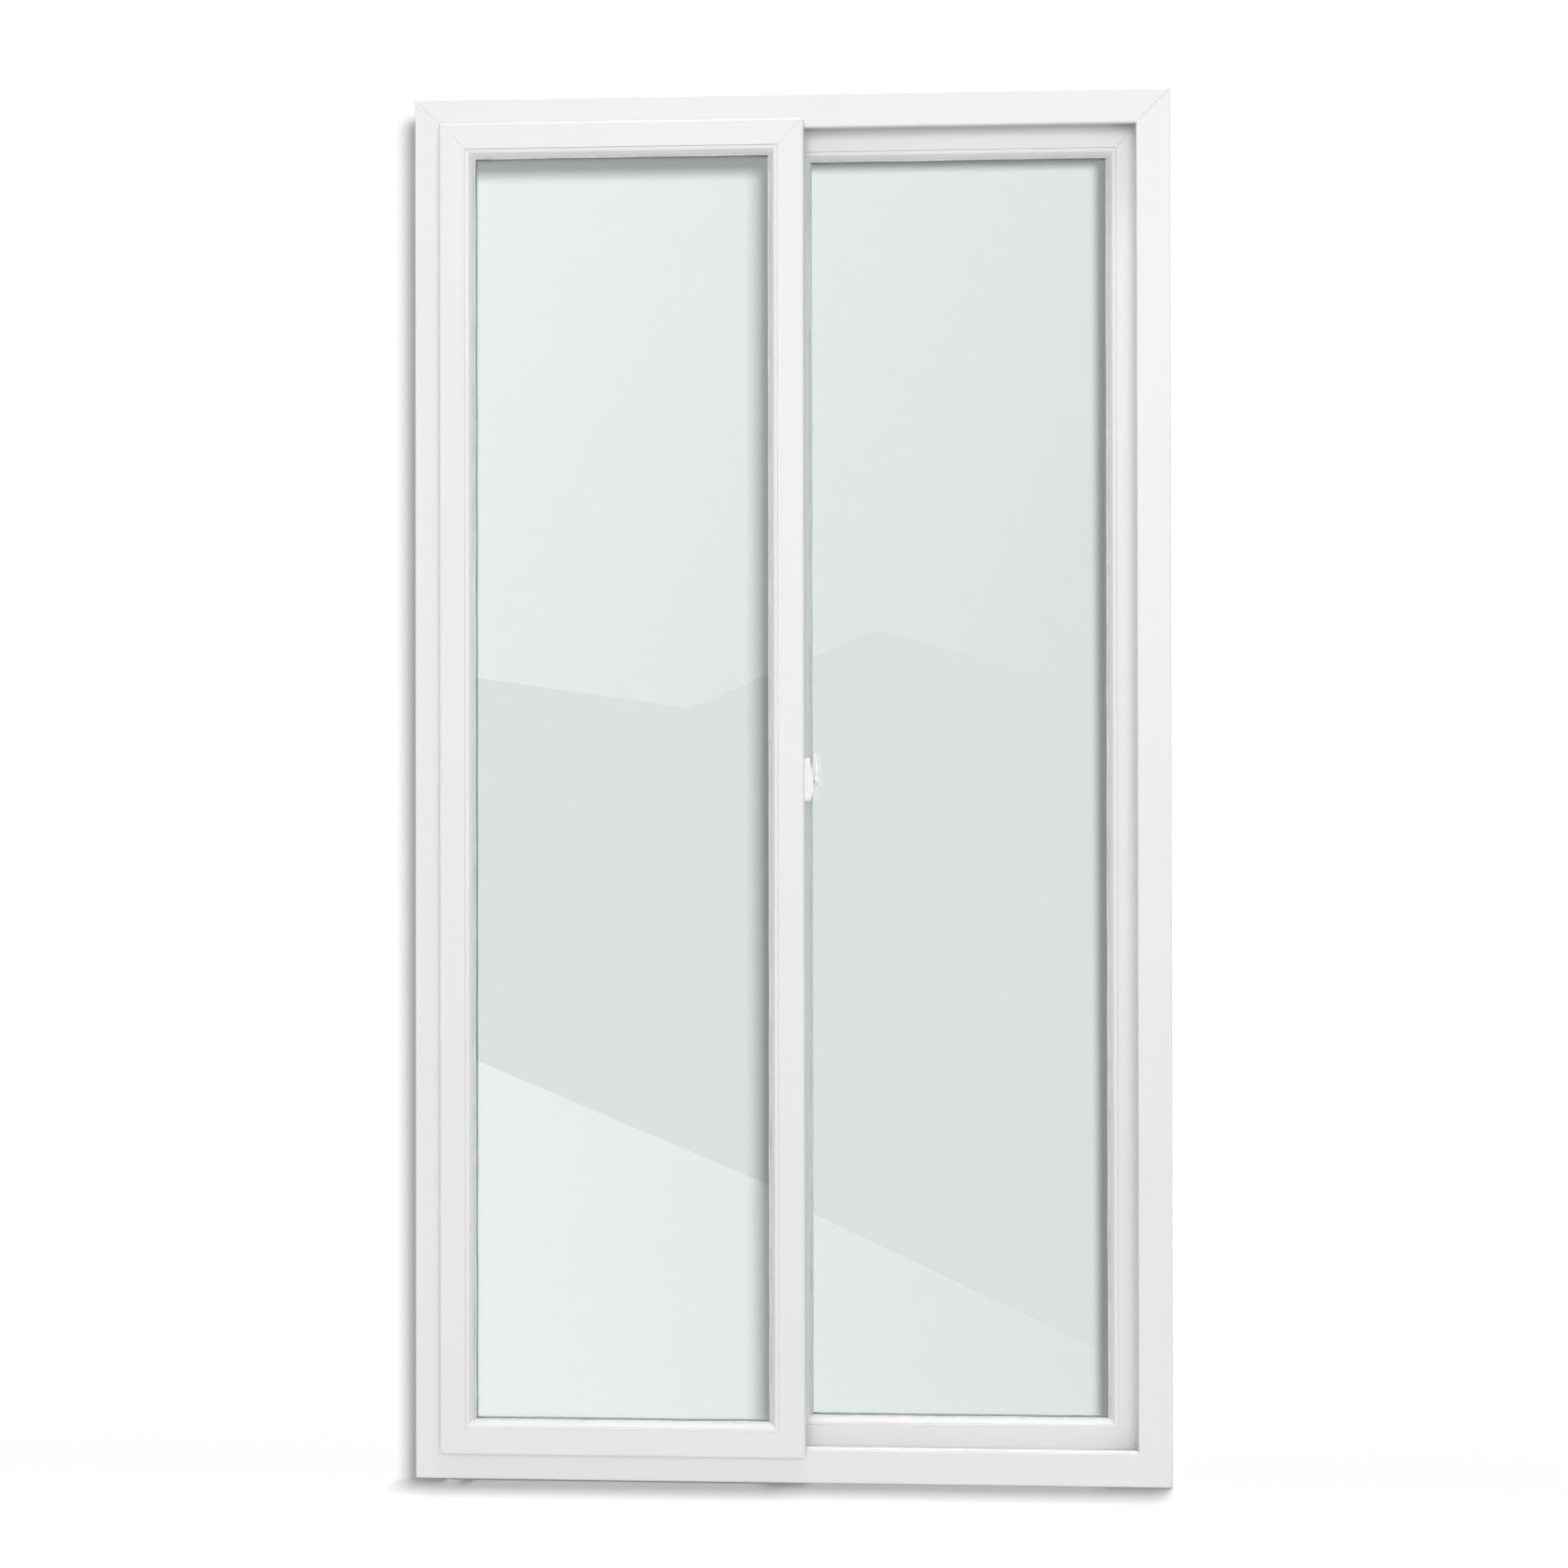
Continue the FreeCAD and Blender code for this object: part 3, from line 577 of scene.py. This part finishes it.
def on_card(x, z):
    """Where the reflection card shows in the glass at (x, z), seen from the camera."""
    eye = Vector(CAMERA_PLACE)
    direction = Vector((x, MIRROR_Y, z)) - eye
    reach = (2 * MIRROR_Y - CARD_Y - eye.y) / direction.y
    far = eye + direction * reach
    return Vector((far.x, CARD_Y, far.z))


def reflection_cards():
    """A pale yard behind the camera: bright sky, a dull bank and bright ground, for the glass to mirror."""
    sky = BANK_TOP + [(YARD_RIGHT, SKY_TOP), (YARD_LEFT, SKY_TOP)]
    bank = BANK_FOOT + BANK_TOP[::-1]
    ground = [(YARD_LEFT, GROUND_END), (YARD_RIGHT, GROUND_END)] + BANK_FOOT[::-1]
    # Each with its outline, the two points its glow runs between, and the glow at both
    yard = (
        ("sky", sky, (-0.55, 2.2), (0.614, 1.56), SKY_GLOW, BANK_GLOW),
        ("bank", bank, (-0.5, 1.0), (0.5, 1.0), BANK_GLOW, BANK_GLOW * 0.96),
        ("ground", ground, (-0.5, 0.3), (0.663, 0.3), GROUND_GLOW, BANK_GLOW),
    )
    for word, outline, start, end, bright, dark in yard:
        glow = slope_glow(word + "_glow", on_card(*start), on_card(*end), bright, dark)
        sheet = card("stage_" + word, glow, [on_card(x, z) for x, z in outline])
        hide_from(sheet, "camera", "diffuse", "shadow")


def floor_and_wall():
    """A pale floor, and a wall close behind the door that only shows from the front."""
    def level(x0, x1, y0, y1):
        return [(x0, y0, 0), (x1, y0, 0), (x1, y1, 0), (x0, y1, 0)]

    (x0, y0, _), (x1, y1, _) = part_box("frame_left_jamb")
    front = y0 - FLOOR_LEAD
    floor = card("stage_floor", glowing("floor_white", albedo=0.1, glow=0.2, fill=0.62, clear=mirrored),
                 level(-FLOOR_REACH, FLOOR_REACH, -FLOOR_REACH, front),
                 level(-DOOR_HALF_WIDTH, DOOR_HALF_WIDTH, front, WALL_Y),
                 level(-FLOOR_REACH, FLOOR_REACH, WALL_Y, FLOOR_REACH))
    hide_from(floor, "shadow")
    outline = [(-WALL_HALF_WIDTH, WALL_FOOT), (WALL_HALF_WIDTH, WALL_FOOT),
               (WALL_HALF_WIDTH, WALL_TOP), (-WALL_HALF_WIDTH, WALL_TOP)]
    wall = card("stage_wall", glowing("wall_white", albedo=0.1, glow=0.28, fill=0.6, clear=backfacing),
                [(x, WALL_Y, z) for x, z in outline])
    hide_from(wall, "diffuse", "shadow", "glossy")

    # Beside the door the floor has a gap that shows the wall's foot. A post below the floor, which only
    # throws a shadow, carries the left jamb's shadow down that foot.
    plan = [(x0, y0), (x1, y0), (x1, y1), (x0, y1)]
    sides = [[(*a, POST_FOOT), (*b, POST_FOOT), (*b, POST_HEAD), (*a, POST_HEAD)]
             for a, b in zip(plan, plan[1:] + plan[:1])]
    post = card("stage_post", floor.data.materials[0], *sides)
    hide_from(post, "camera", "diffuse", "glossy", "transmission")
    return floor, wall


def make_world():
    """Soft light that grows with height, and plain white where the world is seen."""
    world = bpy.data.worlds.new("studio")
    bpy.context.scene.world = world
    t = Tree("studio", world)
    plain = t.tree.nodes.get("Background")
    plain.inputs["Strength"].default_value = WORLD_LIGHT
    white = t.add("ShaderNodeBackground")
    white.inputs["Color"].default_value = (1, 1, 1, 1)
    white.inputs["Strength"].default_value = 1.0
    split = t.add("ShaderNodeSeparateXYZ")
    t.join(t.add("ShaderNodeTexCoord").outputs["Generated"], split.inputs[0])
    height = t.span(split.outputs["Z"], 0.0, 1.0, start=-1.0, end=1.0)
    t.join(t.blend(height, (0.45, 0.45, 0.45), (1.5, 1.5, 1.5)), plain.inputs["Color"])
    t.surface(t.either(seen_rays(t), plain.outputs[0], white.outputs[0]))


def light_group(name, objects, state):
    group = bpy.data.collections.new(name)
    for obj in objects:
        group.objects.link(obj)
    for item in group.collection_objects:
        item.light_linking.link_state = state
    return group


def link_light(lamp, objects, state):
    """Light only these objects, or all but these."""
    lamp.light_linking.receiver_collection = light_group(lamp.name + "_link", objects, state)


def shade_free(lamp, objects):
    """Let these objects throw no shadow from this lamp."""
    lamp.light_linking.blocker_collection = light_group(lamp.name + "_free", objects, "EXCLUDE")


def add_lamp(name, kind, place, target, energy):
    data = bpy.data.lights.new(name, kind)
    data.energy = energy
    obj = bpy.data.objects.new(name, data)
    obj.location = place
    obj.rotation_mode = "QUATERNION"
    obj.rotation_quaternion = (Vector(target) - Vector(place)).to_track_quat("-Z", "Y")
    bpy.context.scene.collection.objects.link(obj)
    obj.visible_camera = False
    return obj


def softbox(name, place, target, size, power, away):
    """Rectangular area lamp that leaves the objects in away unlit."""
    box = add_lamp(name, "AREA", place, target, power)
    box.data.shape = "RECTANGLE"
    box.data.size, box.data.size_y = size
    link_light(box, away, "EXCLUDE")


def sun(name, place, target, strength, spread, lit, unshading):
    """Sun with a spread in degrees that lights one stage piece, past the objects in unshading."""
    obj = add_lamp(name, "SUN", place, target, strength)
    obj.data.angle = math.radians(spread)
    link_light(obj, [lit], "INCLUDE")
    shade_free(obj, unshading)


def make_lamps(floor, wall):
    """Soft boxes before and behind the part, and suns that draw its shadows on the wall and the floor."""
    away = [wall, floor] + [n for name, n in NODES.items() if name.endswith("glass")]
    for side, way in (("front", -1.0), ("rear", 1.0)):
        softbox(side + "_softbox", place=(0.8, 9.0 * way, 2.4), target=(0, 0, 1.1),
                size=(6.0, 4.0), power=325.0, away=away)
        softbox(side + "_top_softbox", place=(0.2, 2.1 * way, 9.0), target=(0, 0, 0.6),
                size=(3.0, 1.5), power=165.0, away=away)
    pieces = list(bpy.data.objects)
    sliding_beads = ("sliding_panel_top_bead", "sliding_panel_right_bead")
    thin = ("glass", "gasket", "lip", "spacer", "bottom_rail", "bottom_bead")
    thin_pieces = [o for o in pieces if o.name.endswith(thin) or o.name in sliding_beads]
    sun("wall_wash", place=(1.37, -4.0, 1.5), target=(0, 0, 1.1), strength=22.5, spread=16.8,
        lit=wall, unshading=thin_pieces)
    low = ("bottom_rail", "bottom_bead", "stile", "interlock")
    low_pieces = [o for o in pieces if o.name.startswith("sliding_panel") and o.name.endswith(low)]
    for word, tilt in (("back", 0.047), ("mid", 0.028), ("fore", 0.009)):
        sun("floor_wash_" + word, place=(0.009, tilt, 1.0), target=(0, 0, 0), strength=8.5, spread=1.5,
            lit=floor, unshading=low_pieces)


make_camera()
steel, gasket = dress()
add_pieces(steel, gasket)
make_world()
make_lamps(*floor_and_wall())
reflection_cards()
bpy.context.scene.view_settings.view_transform = "Standard"
